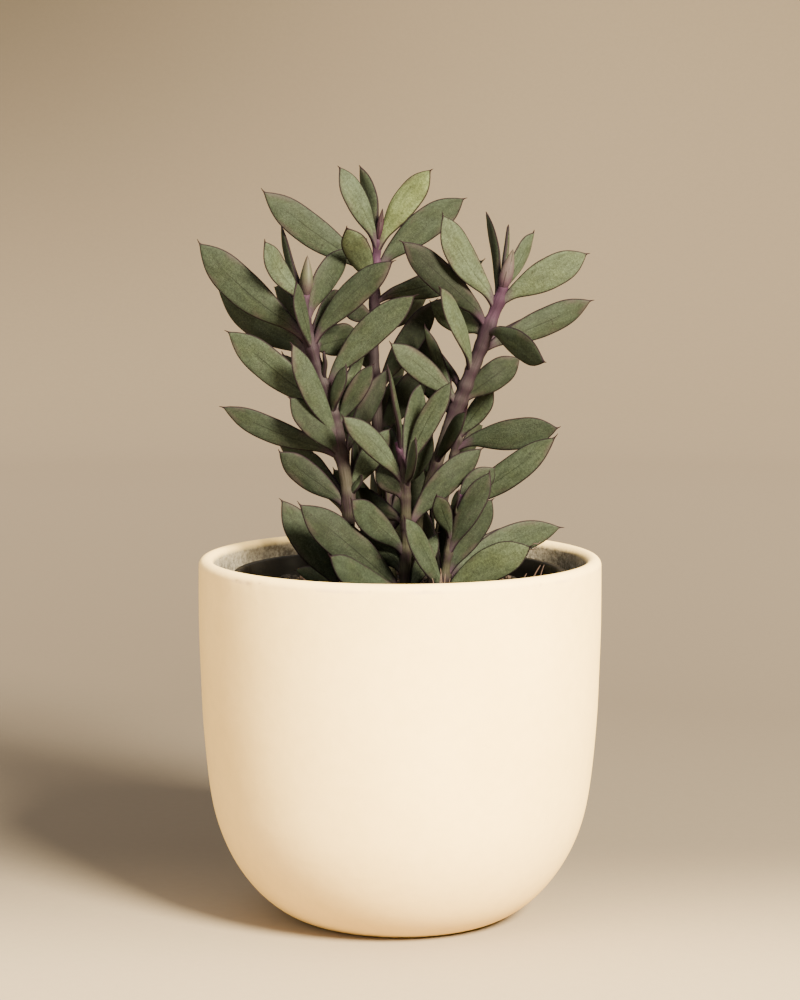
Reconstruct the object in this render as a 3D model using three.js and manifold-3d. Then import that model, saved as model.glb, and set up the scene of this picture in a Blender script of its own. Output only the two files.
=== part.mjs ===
// A vertical leaf senecio in a nursery pot of soil, standing inside a round ceramic planter.
// Millimetres, +Z up. The origin is the middle of the planter's foot, and the front of the plant faces -Y.

import * as THREE from 'three';
import { mergeVertices } from 'three/addons/utils/BufferGeometryUtils.js';
import Module from 'manifold-3d';

const wasm = await Module();
wasm.setup();

// Clearance between pieces that only touch
const gap = 0.3;

// Ceramic planter
const planter = {
  radius: 70,
  height: 126.8,
  wall: 5.2,
  shoulderRadius: 65,
  shoulderHeight: 38,
  footRadius: 34,
  floorRadius: 39.5,
  floorTop: 7,
  recessRadius: 25,
  recessDepth: 1.2,
  sides: 40,
  steps: 4,
};

// Handles of the curves from foot to shoulder and from shoulder to rim, as radius and height
const bowl = {
  outsideLow: [49.4, 4.5, 60.8, 20.5],
  outsideHigh: [69, 54.5, 70.3, 96],
  insideHigh: [65.1, 96, 63.8, 54.5],
  insideLow: [55.6, 24, 49, 9.5],
  insideShoulderRise: 1.5,
};

// Thin plastic nursery pot that stands on the planter's floor
const nursery = {
  baseRadius: 37,
  topRadius: 56.4,
  rimTop: 121.5,
  wall: 1.2,
  lipWidth: 1.6,
  lipHeight: 7,
  holes: 6,
  holeRadius: 3.5,
  holeCircle: 25,
  holeSides: 12,
  sides: 32,
};

// Soil, mounded a little in the middle
const soil = {
  edgeTop: 111,
  middleTop: 112,
  rings: 6,
  bumpHeight: 0.9,
  bumpLength: 5.5,
  fineLength: 3.3,
  smoothEdge: 0.95,
  sides: 32,
};

// A stem is a cubic curve of four points, the first of them down in the soil, with its radius at
// the bottom and at the top. A row of its leaves holds the height where the leaf leaves the stem,
// the tip's x, y and z, the blade's width, its roll in degrees, and how far its middle sags.
const stems = {
  stem_left: {
    route: [[-26, -5, 92], [0, -12, 163], [-43, -10, 203], [-30, -7, 222]],
    radii: [2, 1.7],
    leaves: [
      [204, -69.5, -7, 236.5, 12.6, 0, 2.2],
      [198, -64.4, 13, 220.3, 13.5, 0, 2],
      [177, -60, -4, 206, 11.5, 0, 0],
      [210, -18, 2, 234, 9.8, 0, -1.6],
      [202, -1.6, -20, 230.6, 9.8, 0, -1.6],
      [168, -37, -20, 203, 9, 0, 1],
      [215, -46, -18, 237, 8, 0, 1],
      [217, -41, 9, 241, 4.8, 0, 1],
      [219, -31.6, -7, 231.3, 6.2, 60, 0],
      [199, -35, -20, 223.5, 7, -8, 1],
      [207, -44, 16, 220, 9.5, 0, 1],
      [187, 6, -18, 219, 10.5, 0, -2],
      [177, -18, -18, 195, 5.4, 20, 0],
      [173, -9, -12, 195, 7, 0, 0],
      [177, -11.8, 2, 198.9, 5.5, 0, 0],
      [164, -62, -6, 180, 8.8, 0, 1.7],
      [163, -38, -16, 184, 9.5, 0, 0],
      [146, -42, -12, 165, 9.2, 0, 0.6],
      [142, -34, 6, 164, 9, 0, 0],
      [116, -41, -14, 149, 10.5, 0, 1],
      [117, -37, 8, 121, 6, 0, 0],
      [148, -13.1, -14, 157, 2.8, 0, 0],
      [194, -41, 28, 214, 10, 0, 1],
      [170, -42, 26, 196, 11, 0, 1],
      [150, -46, 22, 172, 10, 0, 1],
      [204, -20.1, 6, 219.1, 10, 0, 0],
      [187, -26, -12, 199.3, 3.4, 0, 0],
      [150, -3.3, -6, 172.4, 8.5, 0, 0],
      [163, -4.4, -4, 192.9, 7.5, 0, 0],
      [200, -13.4, 8, 203.5, 11, 0, 0],
      [147, -15.2, 4, 168, 12, 0, 0],
    ],
  },
  stem_tall: {
    route: [[-1, 7, 92], [-4.2, 13.6, 140.7], [-12.7, 12.7, 189.3], [-7.5, 8, 238]],
    radii: [2.1, 1.7],
    leaves: [
      [225, -48, 2, 253.7, 11.2, 0, 1.3],
      [220, -18.4, -17, 241.5, 9.2, -60, 0],
      [235, -21, -2, 262, 9.2, 0, 0.6],
      [236, -14, 18, 262, 8, 0, 0],
      [234, 11, -2, 261, 10, 0, -1],
      [227, 23, 10, 251, 11, 0, -1],
      [237, -6, 6, 247, 3, 70, 0],
      [217, 30, 18, 229, 10, 0, 2.4],
      [209, -20.3, 3, 213.2, 7, 0, 0],
      [190, -17, 24, 201, 8, 0, 0],
      [183, 13, 14, 216, 9, 0, 0],
      [214, -12, 46, 236, 11, 0, 2],
      [204, 12, 44, 224, 11, 0, 2],
      [190, -10, 50, 197, 11, 0, 1],
      [172, 2, 50, 192, 12, 0, 2],
      [158, -24, 44, 176, 11, 0, 2],
      [140, -10, 48, 152, 11, 0, 2],
      [168, 10, 12, 193, 10, 0, 0],
      [160, -24, 14, 184, 10, 0, 0],
      [146, 12, 14, 168, 11, 0, 0],
      [132, -24, 16, 156, 11, 0, 0],
      [160, -17.4, 34, 162.6, 11, 0, 0],
      [136, -6, 8, 160, 9, 30, 0],
      [134, 8.6, 22, 155.2, 12, 0, 0],
      [166, 0.8, 27, 188.2, 12, 0, 0],
      [130, -3.1, 20, 149, 9, 0, 0],
    ],
  },
  stem_right: {
    route: [[4, 7, 92], [-2.8, 9.6, 135.7], [21.7, -2.1, 179.3], [36.5, -3, 223]],
    radii: [1.7, 2.5],
    leaves: [
      [208, 0, -12, 237, 10.4, 0, 0],
      [215, 14, -14, 246, 11, 0, 2],
      [192, 13, -24, 222, 9.5, 0, 0],
      [216, 30, 14, 246, 9, 0, 0],
      [220, 37.4, 6, 241.7, 3.8, 0, 0.6],
      [221, 38.6, -6, 233.4, 5.4, 60, 0],
      [218, 47, 16, 239, 8, 0, 0],
      [216, 64.6, -8, 232.5, 11, 0, 0],
      [200, 67, 4, 216, 9.8, 0, 1],
      [207, 49, -30, 196, 9.8, 0, -0.5],
      [205, 10, 6, 215, 10, 0, 1],
      [181, -4, -10, 202, 9, 0, 0],
      [178, 8.1, 4, 207.2, 4.4, 0, 0],
      [181, 42, 3, 196, 10, 0, 0],
      [186, 30, 18, 200, 9, 0, 0],
      [159, 23, -16, 179, 7, 0, 0],
      [186, 2, 30, 205, 9, 0, 0],
      [203, 58, 34, 209, 8.5, 0, 1],
      [186, 40, 32, 191, 9, 0, 1],
    ],
  },
  stem_front: {
    route: [[5, -11, 92], [-1.9, -11.3, 117.3], [6, -13.8, 142.7], [-1, -13, 168]],
    radii: [1.9, 1.6],
    leaves: [
      [154, -20.2, -24, 178.2, 8.4, 0, -1.5],
      [130, -17, -26, 150, 10, 0, 0],
      [165, -4.4, -28, 195.4, 3.8, 0, 0],
      [162, 7, -5, 188, 10.5, 0, 0],
      [157, 18, -20, 190, 8, 0, -1],
      [153, 5.3, -26, 170.6, 8.2, 0, 0.6],
      [158, -6, 5, 172, 8, 0, 0],
      [149, -6.4, -12, 161.6, 9, 0, 1.2],
      [141, -15, 0, 151, 7.5, 0, 1.8],
      [123, -14, -14, 139, 9, 0, 0],
      [115, -35, -28, 149, 13, 0, 0],
      [116, -24.2, -42, 133, 10, 0, 2.4],
      [114, 13.3, -13, 137.2, 6.5, 0, 0],
      [139, 28.8, -8, 165.9, 9.6, 0, -1.2],
    ],
  },
  stem_low: {
    route: [[13, -14, 94], [14, -15, 118], [16, -15, 132], [21, -14, 150]],
    radii: [1.6, 1.3],
    leaves: [
      [136, 12, -31, 152, 6.8, -50, 0],
      [142, 20, -27, 153, 5, 0, 0],
      [145, 33, -10, 159, 9, 0, -1],
      [130, 31, -20, 159, 8.6, 0, 0],
      [122, 32, -14, 149, 11, 0, -1],
      [121, 57, 2, 137, 11, 0, -3],
      [116, 45, -34, 135, 12, 0, -1],
      [116, 1, -33, 145, 9.5, 0, 0],
      [113, 8.4, -3, 144.7, 9, 0, 0],
    ],
  },
  stem_back: {
    route: [[9, 24, 92], [12, 22, 125], [16, 18, 152], [24, 15, 182]],
    radii: [1.6, 1.3],
    leaves: [
      [165, 56, 6, 171, 11, 0, 0],
      [140, 55, 2, 169, 10.2, 0, 1.8],
      [166, 33, 10, 184, 7.5, 0, -0.6],
      [175, 6, 40, 190, 10, 0, 1],
      [160, 30, 52, 168, 10, 0, 2],
      [148, 0, 56, 168, 11, 0, 2],
      [132, 28, 56, 146, 12, 0, 2],
      [122, -4, 58, 134, 12, 0, 2],
      [120, 44, 36, 132, 11, 0, 2],
      [150, -4, 30, 171, 10, 0, 0],
      [126, -3, 33, 148, 11, 0, 0],
      [172, 2, 26, 196, 10, 0, 0],
      [112, 18.4, 12, 139.7, 12, 0, 0],
      [116, 11, 15, 148.2, 10, 0, 0],
    ],
  },
};

const stem = {
  sides: 8,
  steps: 12,
  socketSteps: 4,
  socketSlack: 0.01,
  tipTaper: 0.55,
  taperPower: 8,
};

// Blade outline along its length: the narrow foot, the widest place and the small point at the tip
const blade = {
  sides: 4,
  stations: [0, 0.16, 0.32, 0.47, 0.61, 0.75, 0.87, 0.955],
  footShare: 0.18,
  footCurve: 1.5,
  widest: 0.58,
  tipCurve: 1.7,
  thickness: 2,
  tipThickness: 0.7,
  pointHalfWidth: 0.35,
  sideBend: 1.2,
  bendStep: 2.4,
};

const colours = {
  ceramic: '#e9d8bd',
  plastic: '#1d1b1a',
  soil: '#2e241d',
  leaf: '#7c8a66',
};

function toSolid(geometry) {
  geometry.deleteAttribute('normal');
  geometry.deleteAttribute('uv');
  const merged = mergeVertices(geometry);
  return new wasm.Manifold(new wasm.Mesh({
    numProp: 3,
    vertProperties: new Float32Array(merged.attributes.position.array),
    triVerts: new Uint32Array(merged.index.array),
  }));
}

function toNode(name, solid, colour, roughness) {
  const mesh = solid.getMesh();
  const geometry = new THREE.BufferGeometry();
  geometry.setAttribute('position', new THREE.BufferAttribute(mesh.vertProperties, 3));
  geometry.setIndex(new THREE.BufferAttribute(mesh.triVerts, 1));
  geometry.computeVertexNormals();
  const material = new THREE.MeshStandardMaterial({ color: colour, roughness, metalness: 0 });
  const node = new THREE.Mesh(geometry, material);
  node.name = name;
  return node;
}

// A closed solid through rings that have the same number of points
function loft(rings) {
  const count = rings[0].length;
  const corners = rings.flat().flatMap((point) => [point.x, point.y, point.z]);
  const faces = [];
  for (let ring = 0; ring + 1 < rings.length; ring += 1) {
    for (let side = 0; side < count; side += 1) {
      const here = ring * count + side;
      const next = ring * count + (side + 1) % count;
      faces.push(here, next, next + count, here, next + count, here + count);
    }
  }
  const last = (rings.length - 1) * count;
  for (let side = 1; side + 1 < count; side += 1) {
    faces.push(0, side + 1, side);
    faces.push(last, last + side, last + side + 1);
  }
  return new wasm.Manifold(new wasm.Mesh({
    numProp: 3,
    vertProperties: new Float32Array(corners),
    triVerts: new Uint32Array(faces),
  }));
}

// A ring of an ellipse around a centre, spanned by two half-axes
function ringAround(centre, across, along, sides) {
  const ring = [];
  for (let side = 0; side < sides; side += 1) {
    const angle = (2 * Math.PI * side) / sides;
    ring.push(centre.clone()
      .addScaledVector(across, Math.cos(angle))
      .addScaledVector(along, Math.sin(angle)));
  }
  return ring;
}

function turned(path, sides) {
  const geometry = new THREE.LatheGeometry(path.getPoints(planter.steps), sides);
  return geometry.rotateX(Math.PI / 2);
}

function makePlanter() {
  const { radius, height, wall, shoulderRadius, shoulderHeight } = planter;
  const { footRadius, floorRadius, floorTop } = planter;
  const lip = wall / 2;
  const lipBase = height - lip;
  const insideShoulder = shoulderHeight + bowl.insideShoulderRise;
  const profile = new THREE.Path();
  profile.moveTo(0, planter.recessDepth);
  profile.lineTo(planter.recessRadius, planter.recessDepth);
  profile.lineTo(planter.recessRadius + planter.recessDepth, 0);
  profile.lineTo(footRadius, 0);
  profile.bezierCurveTo(...bowl.outsideLow, shoulderRadius, shoulderHeight);
  profile.bezierCurveTo(...bowl.outsideHigh, radius, lipBase);
  profile.absarc(radius - lip, lipBase, lip, 0, Math.PI, false);
  profile.bezierCurveTo(...bowl.insideHigh, shoulderRadius - wall, insideShoulder);
  profile.bezierCurveTo(...bowl.insideLow, floorRadius, floorTop);
  profile.lineTo(0, floorTop);
  return toSolid(turned(profile, planter.sides));
}

// The inner radius of the nursery pot's slanted wall at a height
function nurseryInside(height) {
  const low = planter.floorTop + gap + nursery.wall;
  const share = (height - low) / (nursery.rimTop - low);
  return nursery.baseRadius + (nursery.topRadius - nursery.baseRadius) * share - nursery.wall;
}

function makeNurseryPot() {
  const { baseRadius, topRadius, rimTop, wall, lipWidth, lipHeight } = nursery;
  const { holes, holeRadius, holeCircle, holeSides } = nursery;
  const base = planter.floorTop + gap;
  const lipRadius = topRadius + lipWidth;
  const profile = new THREE.Path();
  profile.moveTo(0, base);
  profile.lineTo(baseRadius, base);
  profile.lineTo(topRadius, rimTop - lipHeight);
  profile.lineTo(lipRadius, rimTop - lipHeight);
  profile.lineTo(lipRadius, rimTop - wall);
  profile.lineTo(lipRadius - wall / 2, rimTop);
  profile.lineTo(nurseryInside(rimTop), rimTop);
  profile.lineTo(nurseryInside(base + wall), base + wall);
  profile.lineTo(0, base + wall);
  let pot = toSolid(turned(profile, nursery.sides));
  for (let hole = 0; hole < holes; hole += 1) {
    const angle = (2 * Math.PI * hole) / holes;
    const drill = new THREE.CylinderGeometry(holeRadius, holeRadius, 4 * wall, holeSides);
    drill.rotateX(Math.PI / 2);
    drill.translate(holeCircle * Math.cos(angle), holeCircle * Math.sin(angle), base);
    pot = pot.subtract(toSolid(drill));
  }
  return pot;
}

// Height of the soil's crumbly surface over its smooth mound
function soilBump(x, y) {
  const { bumpHeight, bumpLength, fineLength } = soil;
  const broad = Math.sin(x / bumpLength) * Math.cos(y / bumpLength);
  const fine = Math.sin((x - y) / fineLength);
  return bumpHeight * (broad + fine / 2);
}

function makeSoilBody() {
  const bottom = planter.floorTop + gap + nursery.wall + gap;
  const edge = nurseryInside(soil.edgeTop) - gap;
  const profile = new THREE.Path();
  profile.moveTo(0, bottom);
  profile.lineTo(nurseryInside(bottom) - gap, bottom);
  for (let ring = soil.rings; ring >= 0; ring -= 1) {
    const share = ring / soil.rings;
    profile.lineTo(edge * share, soil.middleTop + (soil.edgeTop - soil.middleTop) * share ** 2);
  }
  const geometry = turned(profile, soil.sides);
  const place = geometry.attributes.position;
  for (let point = 0; point < place.count; point += 1) {
    const x = place.getX(point);
    const y = place.getY(point);
    const inside = Math.hypot(x, y) < edge * soil.smoothEdge;
    if (place.getZ(point) > soil.edgeTop - 1 && inside) {
      place.setZ(point, place.getZ(point) + soilBump(x, y));
    }
  }
  return toSolid(geometry);
}

function routeOf(plan) {
  return new THREE.CubicBezierCurve3(...plan.route.map((point) => new THREE.Vector3(...point)));
}

// The share of the way along a rising curve at which it reaches a height
function shareAtHeight(route, height) {
  let low = 0;
  let high = 1;
  for (let halving = 0; halving < 24; halving += 1) {
    const middle = (low + high) / 2;
    if (route.getPoint(middle).z < height) {
      low = middle;
    } else {
      high = middle;
    }
  }
  return low;
}

function stemRadius(plan, share) {
  const [bottom, top] = plan.radii;
  return (bottom + (top - bottom) * share) * (1 - (1 - stem.tipTaper) * share ** stem.taperPower);
}

// A stem from one share of its route to another, thickened by an extra radius
function makeStem(plan, from, to, steps, extra) {
  const route = routeOf(plan);
  const rings = [];
  for (let step = 0; step <= steps; step += 1) {
    const share = from + ((to - from) * step) / steps;
    const radius = stemRadius(plan, share) + extra;
    const across = new THREE.Vector3(radius, 0, 0);
    const along = new THREE.Vector3(0, radius, 0);
    rings.push(ringAround(route.getPoint(share), across, along, stem.sides));
  }
  return loft(rings);
}

// Half the blade's width as a share of its greatest, at a share of its length
function outline(share) {
  const { footShare, footCurve, widest, tipCurve } = blade;
  const quarter = Math.PI / 2;
  if (share < widest) {
    return footShare + (1 - footShare) * Math.sin(quarter * (share / widest)) ** footCurve;
  }
  return Math.cos(quarter * ((share - widest) / (1 - widest)) ** tipCurve);
}

// One upright blade from the stem's middle to its tip
function makeLeaf(plan, row, number) {
  const [height, tipX, tipY, tipZ, width, roll, sag] = row;
  const route = routeOf(plan);
  const foot = route.getPoint(shareAtHeight(route, height));
  const chord = new THREE.Vector3(tipX, tipY, tipZ).sub(foot);
  const forward = chord.clone().normalize();
  const up = new THREE.Vector3(0, 0, 1).projectOnPlane(forward).normalize();
  up.applyAxisAngle(forward, THREE.MathUtils.degToRad(roll));
  const side = forward.clone().cross(up);
  const bend = blade.sideBend * Math.sin(blade.bendStep * number);
  const centreAt = (share) => foot.clone()
    .addScaledVector(chord, share)
    .addScaledVector(up, -sag * Math.sin(Math.PI * share))
    .addScaledVector(side, bend * Math.sin(Math.PI * share));
  const ringAt = (share, half, thick) => {
    const across = up.clone().multiplyScalar(half);
    return ringAround(centreAt(share), across, side.clone().multiplyScalar(thick), blade.sides);
  };
  const rings = blade.stations.map((share) => {
    const thinning = (blade.thickness - blade.tipThickness) * share ** 3;
    return ringAt(share, (width / 2) * outline(share), (blade.thickness - thinning) / 2);
  });
  rings.push(ringAt(1, blade.pointHalfWidth, blade.pointHalfWidth));
  return loft(rings);
}

function makePlant(plan) {
  let plant = makeStem(plan, 0, 1, stem.steps, 0);
  plan.leaves.forEach((row, number) => {
    plant = plant.add(makeLeaf(plan, row, number));
  });
  return plant;
}

function makeSoil() {
  let body = makeSoilBody();
  for (const plan of Object.values(stems)) {
    const above = shareAtHeight(routeOf(plan), soil.middleTop + 4 * soil.bumpHeight);
    body = body.subtract(makeStem(plan, -stem.socketSlack, above, stem.socketSteps, gap));
  }
  return body;
}

const group = new THREE.Group();
group.add(toNode('planter', makePlanter(), colours.ceramic, 0.75));
group.add(toNode('nursery_pot', makeNurseryPot(), colours.plastic, 0.45));
group.add(toNode('soil', makeSoil(), colours.soil, 0.95));
for (const [name, plan] of Object.entries(stems)) {
  group.add(toNode(name, makePlant(plan), colours.leaf, 0.6));
}

export default group;
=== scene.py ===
import math
import random

import bmesh
import bpy
import numpy as np
from mathutils import Matrix, Vector, noise


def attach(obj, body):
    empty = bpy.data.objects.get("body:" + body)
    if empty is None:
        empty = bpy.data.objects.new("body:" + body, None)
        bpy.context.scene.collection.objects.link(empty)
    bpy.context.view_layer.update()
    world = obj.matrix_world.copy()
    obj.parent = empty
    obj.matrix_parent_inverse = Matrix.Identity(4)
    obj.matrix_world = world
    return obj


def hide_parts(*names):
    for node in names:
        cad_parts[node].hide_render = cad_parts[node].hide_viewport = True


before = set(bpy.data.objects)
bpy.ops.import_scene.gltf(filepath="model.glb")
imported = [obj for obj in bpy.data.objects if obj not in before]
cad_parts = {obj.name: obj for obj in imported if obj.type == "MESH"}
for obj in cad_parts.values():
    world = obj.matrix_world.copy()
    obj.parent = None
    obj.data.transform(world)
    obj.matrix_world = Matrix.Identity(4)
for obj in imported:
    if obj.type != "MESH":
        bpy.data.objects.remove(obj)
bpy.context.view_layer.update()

# Every size below is in millimetres and every angle in degrees, where nothing else is said
MM = 0.001

# Radius at which a turned profile stops short of its axis
AXIS_GAP = 0.5

# Round planter: half outlines as cubic curves from the foot to the shoulder and on to the lip.
# Unevenness and grit have a depth, a length and the heights between which they grow.
PLANTER = {
    "slack": 0.03,
    "recess_radius": 25,
    "recess_depth": 1.2,
    "foot_radius": 34,
    "foot_round": 0.9,
    "shoulder": (65, 38),
    "outside_low": ((49.4, 4.5), (60.8, 20.5)),
    "outside_high": ((69, 54.5), (70.3, 96)),
    "radius": 70,
    "height": 126.8,
    "wall": 5.2,
    "inside_high": ((65.1, 96), (63.8, 54.5)),
    "inside_shoulder": (59.8, 39.5),
    "inside_low": ((55.6, 24), (49, 9.5)),
    "floor": (39.5, 7),
    "sides": 224,
    "uneven_depth": 0.16,
    "uneven_length": 34,
    "uneven_from": (3, 16),
    "grit_depth": 0.12,
    "grit_length": 1.7,
    "grit_below_lip": (0.6, 3),
}

# Small chips along the lip's outer edge: angle, height, half-width and depth
LIP_CHIPS = [
    (219, 124.6, 1.1, 0.35),
    (224, 124.3, 1.5, 0.3),
    (228, 124.8, 0.9, 0.3),
    (262, 124.6, 1.3, 0.22),
    (277, 124.7, 1.8, 0.24),
    (284, 124.5, 1, 0.2),
    (312, 124.4, 1.2, 0.24),
    (325, 124.9, 0.9, 0.28),
    (40, 124.6, 1.2, 0.3),
    (118, 124.5, 1.4, 0.26),
    (171, 124.7, 1.1, 0.3),
]
DEEPEST_CHIP = 0.35
CHIP_FLATNESS = 1.7

NURSERY = {
    "base": 7.3,
    "base_radius": 37,
    "base_round": 1,
    "top_radius": 56.4,
    "rim_top": 121.5,
    "rim_bevel": 0.5,
    "wall": 1.2,
    "lip_width": 1.6,
    "lip_height": 7,
    "lip_round": 0.6,
    "under_lip_step": 0.2,
    "holes": 6,
    "hole_radius": 3.5,
    "hole_circle": 25,
    "sides": 160,
    "uneven_depth": 0.12,
    "uneven_length": 28,
    "uneven_from": (12, 40),
}

# Soil: random sizes of crumbs and fibres lie between two values
SOIL = {
    "bottom": 8.8,
    "bottom_radius": 35.6,
    "top_radius": 53,
    "edge_top": 112,
    "middle_top": 113,
    "rings": 64,
    "sides": 200,
    "heap": 2.6,
    "heap_from": (26, 48),
    "heap_length": 14,
    "lumps": 1.3,
    "lump_length": 4.2,
    "crumbs": 620,
    "crumb_size": (0.45, 1.55),
    "crumb_reach": 51,
    "fibres": 260,
    "fibre_ring": (4, 50),
    "fibre_length": (4, 16),
    "fibre_radius": (0.1, 0.2),
    "fibre_lift": 2.2,
    "fibre_reach": 52,
    "fibre_rise": 0.25,
    "fibre_steps": 12,
    "fibre_sides": 6,
}

# Dry straws that stand in the soil: x, y, rise, lean in x and y, and paleness from 0 to 1
STRAWS = [
    (13.2, -22.5, 11.5, 0.8, -1.2, 0.9),
    (14.4, -22, 13.2, -0.6, -1.6, 0.95),
    (15.6, -21.4, 10.2, 1.5, -1.4, 0.8),
    (12.2, -22.8, 9.3, -1.2, -0.8, 0.85),
    (14.9, -22.6, 11.9, 0.5, -1, 1),
    (41, -14, 8.6, 2.4, -1, 0.65),
    (45, -9, 9.8, 3.4, -0.6, 0.7),
    (43, -17, 7.9, -1.6, -1, 0.75),
    (48, -6, 9, 1.8, -1.2, 0.6),
    (38, -20, 7.5, 2.6, -0.8, 0.85),
    (-42, -16, 6.4, 3.2, -0.8, 0.8),
    (-37, -22, 6.8, -2.8, -0.6, 0.75),
]
STRAW_RADIUS = 0.22
STRAW_DEPTH = 0.5
STRAW_STEPS = 8

# Papery shreds on the tip of the lowest right leaf
SHREDS = [
    [(43.6, -34, 134.6), (45.2, -34.4, 135.8), (46.4, -34.2, 135.6), (47.4, -34, 136.6)],
    [(43.2, -34.2, 133.6), (44.8, -34.6, 133.8), (46.2, -34.6, 134.8)],
]
SHRED_PALENESS = 0.25

# Leaf: counts, sizes, shares of its length or width, and ranges of random draws
LEAF = {
    "stations": 44,
    "face_steps": 10,
    "crowding": 0.45,
    "thickness": 2,
    "tip_thickness": 0.7,
    "roundest": 1.1,
    "widest": 0.58,
    "foot_width": 0.18,
    "foot_curve": 1.5,
    "tip_curve": 1.7,
    "blade_end": 0.968,
    "point_from": (0.85, 0.93),
    "point_half": (0.1, 0.5),
    "point_slope": 5,
    "drop_share": 0.2,
    "drop": 3.4,
    "bend": 1.2,
    "bend_turn": 2.4,
    "wave_height": (0.15, 0.35),
    "wave_turn": (5, 9),
    "beak": 0.5,
    "beak_from": 0.94,
    "twist": 9,
    "twist_middle": 0.4,
    "twist_from": (0, 0.3),
    "flat_from": (0.04, 0.3),
    "cup": 0.1,
    "cup_from": (0.1, 0.5),
    "cup_middle": 0.4,
}

# Bud: each scale has its sideways bow, its plumpness and its share of the bud's length
BUD = {
    "scales": [(0, 0.9, 1), (0.5, 0.8, 0.93), (-0.6, 0.75, 0.8)],
    "scale_turn": 75,
    "stations": 28,
    "sunk": 2,
    "foot_radius": 0.2,
    "tip_radius": 0.08,
    "narrowing": 0.25,
    "flatness": 0.8,
    "ripe": 0.93,
    "rim": 0.15,
    "luck": 0.9,
}

# Stem: a ridge runs down from each leaf, and the stem swells round the leaf's foot
STEM = {
    "rings": 150,
    "sides": 28,
    "taper": 0.45,
    "ridge": 0.55,
    "ridge_above": 3.5,
    "ridge_reach": 6,
    "ridge_width": 0.55,
    "swelling": 0.16,
    "swelling_reach": 1.6,
    "most": 1.1,
    "mark_below": 1.5,
    "mark_reach": 2.6,
    "rough_depth": 0.14,
    "rough_length": 2.6,
    "grain_radius": 3,
    "grain_length": 6,
    "rim": 2,
    "cross": 5,
}

# Slots of the materials that a leafy stem holds
LEAF_SKIN, STEM_SKIN, BUD_SKIN = range(3)

# Leaves of each stem: the height where a leaf leaves the stem, its tip's x, y and z, its width,
# its roll, how far its middle sags, and its tone from 0 for dark to 1 for pale. The tone holds
# both age, young leaves being paler, and painted light and shade: each leaf's tone is set darker
# where it lies in shade and paler where it is lit.
LEFT_LEAVES = [
    (204, -69.5, -7, 236.5, 12.6, 0, 2.2, 0.25),
    (198, -64.4, 13, 220.3, 13.5, 0, 2, 0.3),
    (177, -60, -4, 206, 11.5, 0, 0, 0.47),
    (210, -18, 2, 234, 9.8, 0, -1.6, 0.22),
    (202, -1.6, -20, 230.6, 9.8, 0, -1.6, 0.24),
    (168, -37, -20, 203, 9, 0, 1, 0.36),
    (215, -46, -18, 237, 8, 0, 1, 0.61),
    (217, -41, 9, 241, 4.8, 0, 1, 0.3),
    (199, -35, -20, 223.5, 7, -8, 1, 0.26),
    (207, -44, 16, 220, 9.5, 0, 1, 0.42),
    (187, 6, -18, 219, 10.5, 0, -2, 0.35),
    (177, -18, -18, 195, 5.4, 20, 0, 0.23),
    (173, -9, -12, 195, 7, 0, 0, 0.19),
    (177, -11.8, 2, 198.9, 5.5, 0, 0, 0.45),
    (164, -62, -6, 180, 8.8, 0, 1.7, 0.19),
    (163, -38, -16, 184, 9.5, 0, 0, 0.17),
    (146, -42, -12, 165, 9.2, 0, 0.6, 0.08),
    (142, -34, 6, 164, 9, 0, 0, 0.35),
    (116, -41, -14, 149, 10.5, 0, 1, 0.26),
    (117, -37, 8, 121, 6, 0, 0, 0.34),
    (148, -13.1, -14, 157, 2.8, 0, 0, 0.3),
    (194, -41, 28, 214, 10, 0, 1, 0.2),
    (170, -42, 26, 196, 11, 0, 1, 0.25),
    (150, -46, 22, 172, 10, 0, 1, 0.3),
    (204, -20.1, 6, 219.1, 10, 0, 0, 0),
    (187, -26, -12, 199.3, 3.4, 0, 0, 0.1),
    (150, -3.3, -6, 172.4, 8.5, 0, 0, 0.45),
    (163, -4.4, -4, 192.9, 7.5, 0, 0, 0),
    (200, -13.4, 8, 203.5, 11, 0, 0, 0.16),
    (147, -15.2, 4, 168, 12, 0, 0, 0),
]
TALL_LEAVES = [
    (225, -48, 2, 253.7, 11.2, 0, 1.3, 0.3),
    (220, -18.4, -17, 241.5, 9.2, -60, 0, 0.7),
    (235, -21, -2, 262, 9.2, 0, 0.6, 0.61),
    (236, -14, 18, 262, 8, 0, 0, 0.5),
    (234, 11, -2, 261, 10, 0, -1, 0.93),
    (227, 23, 10, 251, 11, 0, -1, 0.29),
    (217, 30, 18, 229, 10, 0, 2.4, 0.45),
    (209, -20.3, 3, 213.2, 7, 0, 0, 0),
    (190, -17, 24, 201, 8, 0, 0, 0.1),
    (183, 13, 14, 216, 9, 0, 0, 0.01),
    (214, -12, 46, 236, 11, 0, 2, 0.3),
    (204, 12, 44, 224, 11, 0, 2, 0.4),
    (190, -10, 50, 197, 11, 0, 1, 0.3),
    (172, 2, 50, 192, 12, 0, 2, 0.3),
    (158, -24, 44, 176, 11, 0, 2, 0.3),
    (140, -10, 48, 152, 11, 0, 2, 0.3),
    (168, 10, 12, 193, 10, 0, 0, 0),
    (160, -24, 14, 184, 10, 0, 0, 0.15),
    (146, 12, 14, 168, 11, 0, 0, 0.11),
    (132, -24, 16, 156, 11, 0, 0, 0.1),
    (160, -17.4, 34, 162.6, 11, 0, 0, 0.1),
    (136, -6, 8, 160, 9, 30, 0, 0.15),
    (134, 8.6, 22, 155.2, 12, 0, 0, 0),
    (166, 0.8, 27, 188.2, 12, 0, 0, 0.04),
    (130, -3.1, 20, 149, 9, 0, 0, 0.05),
]
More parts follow.
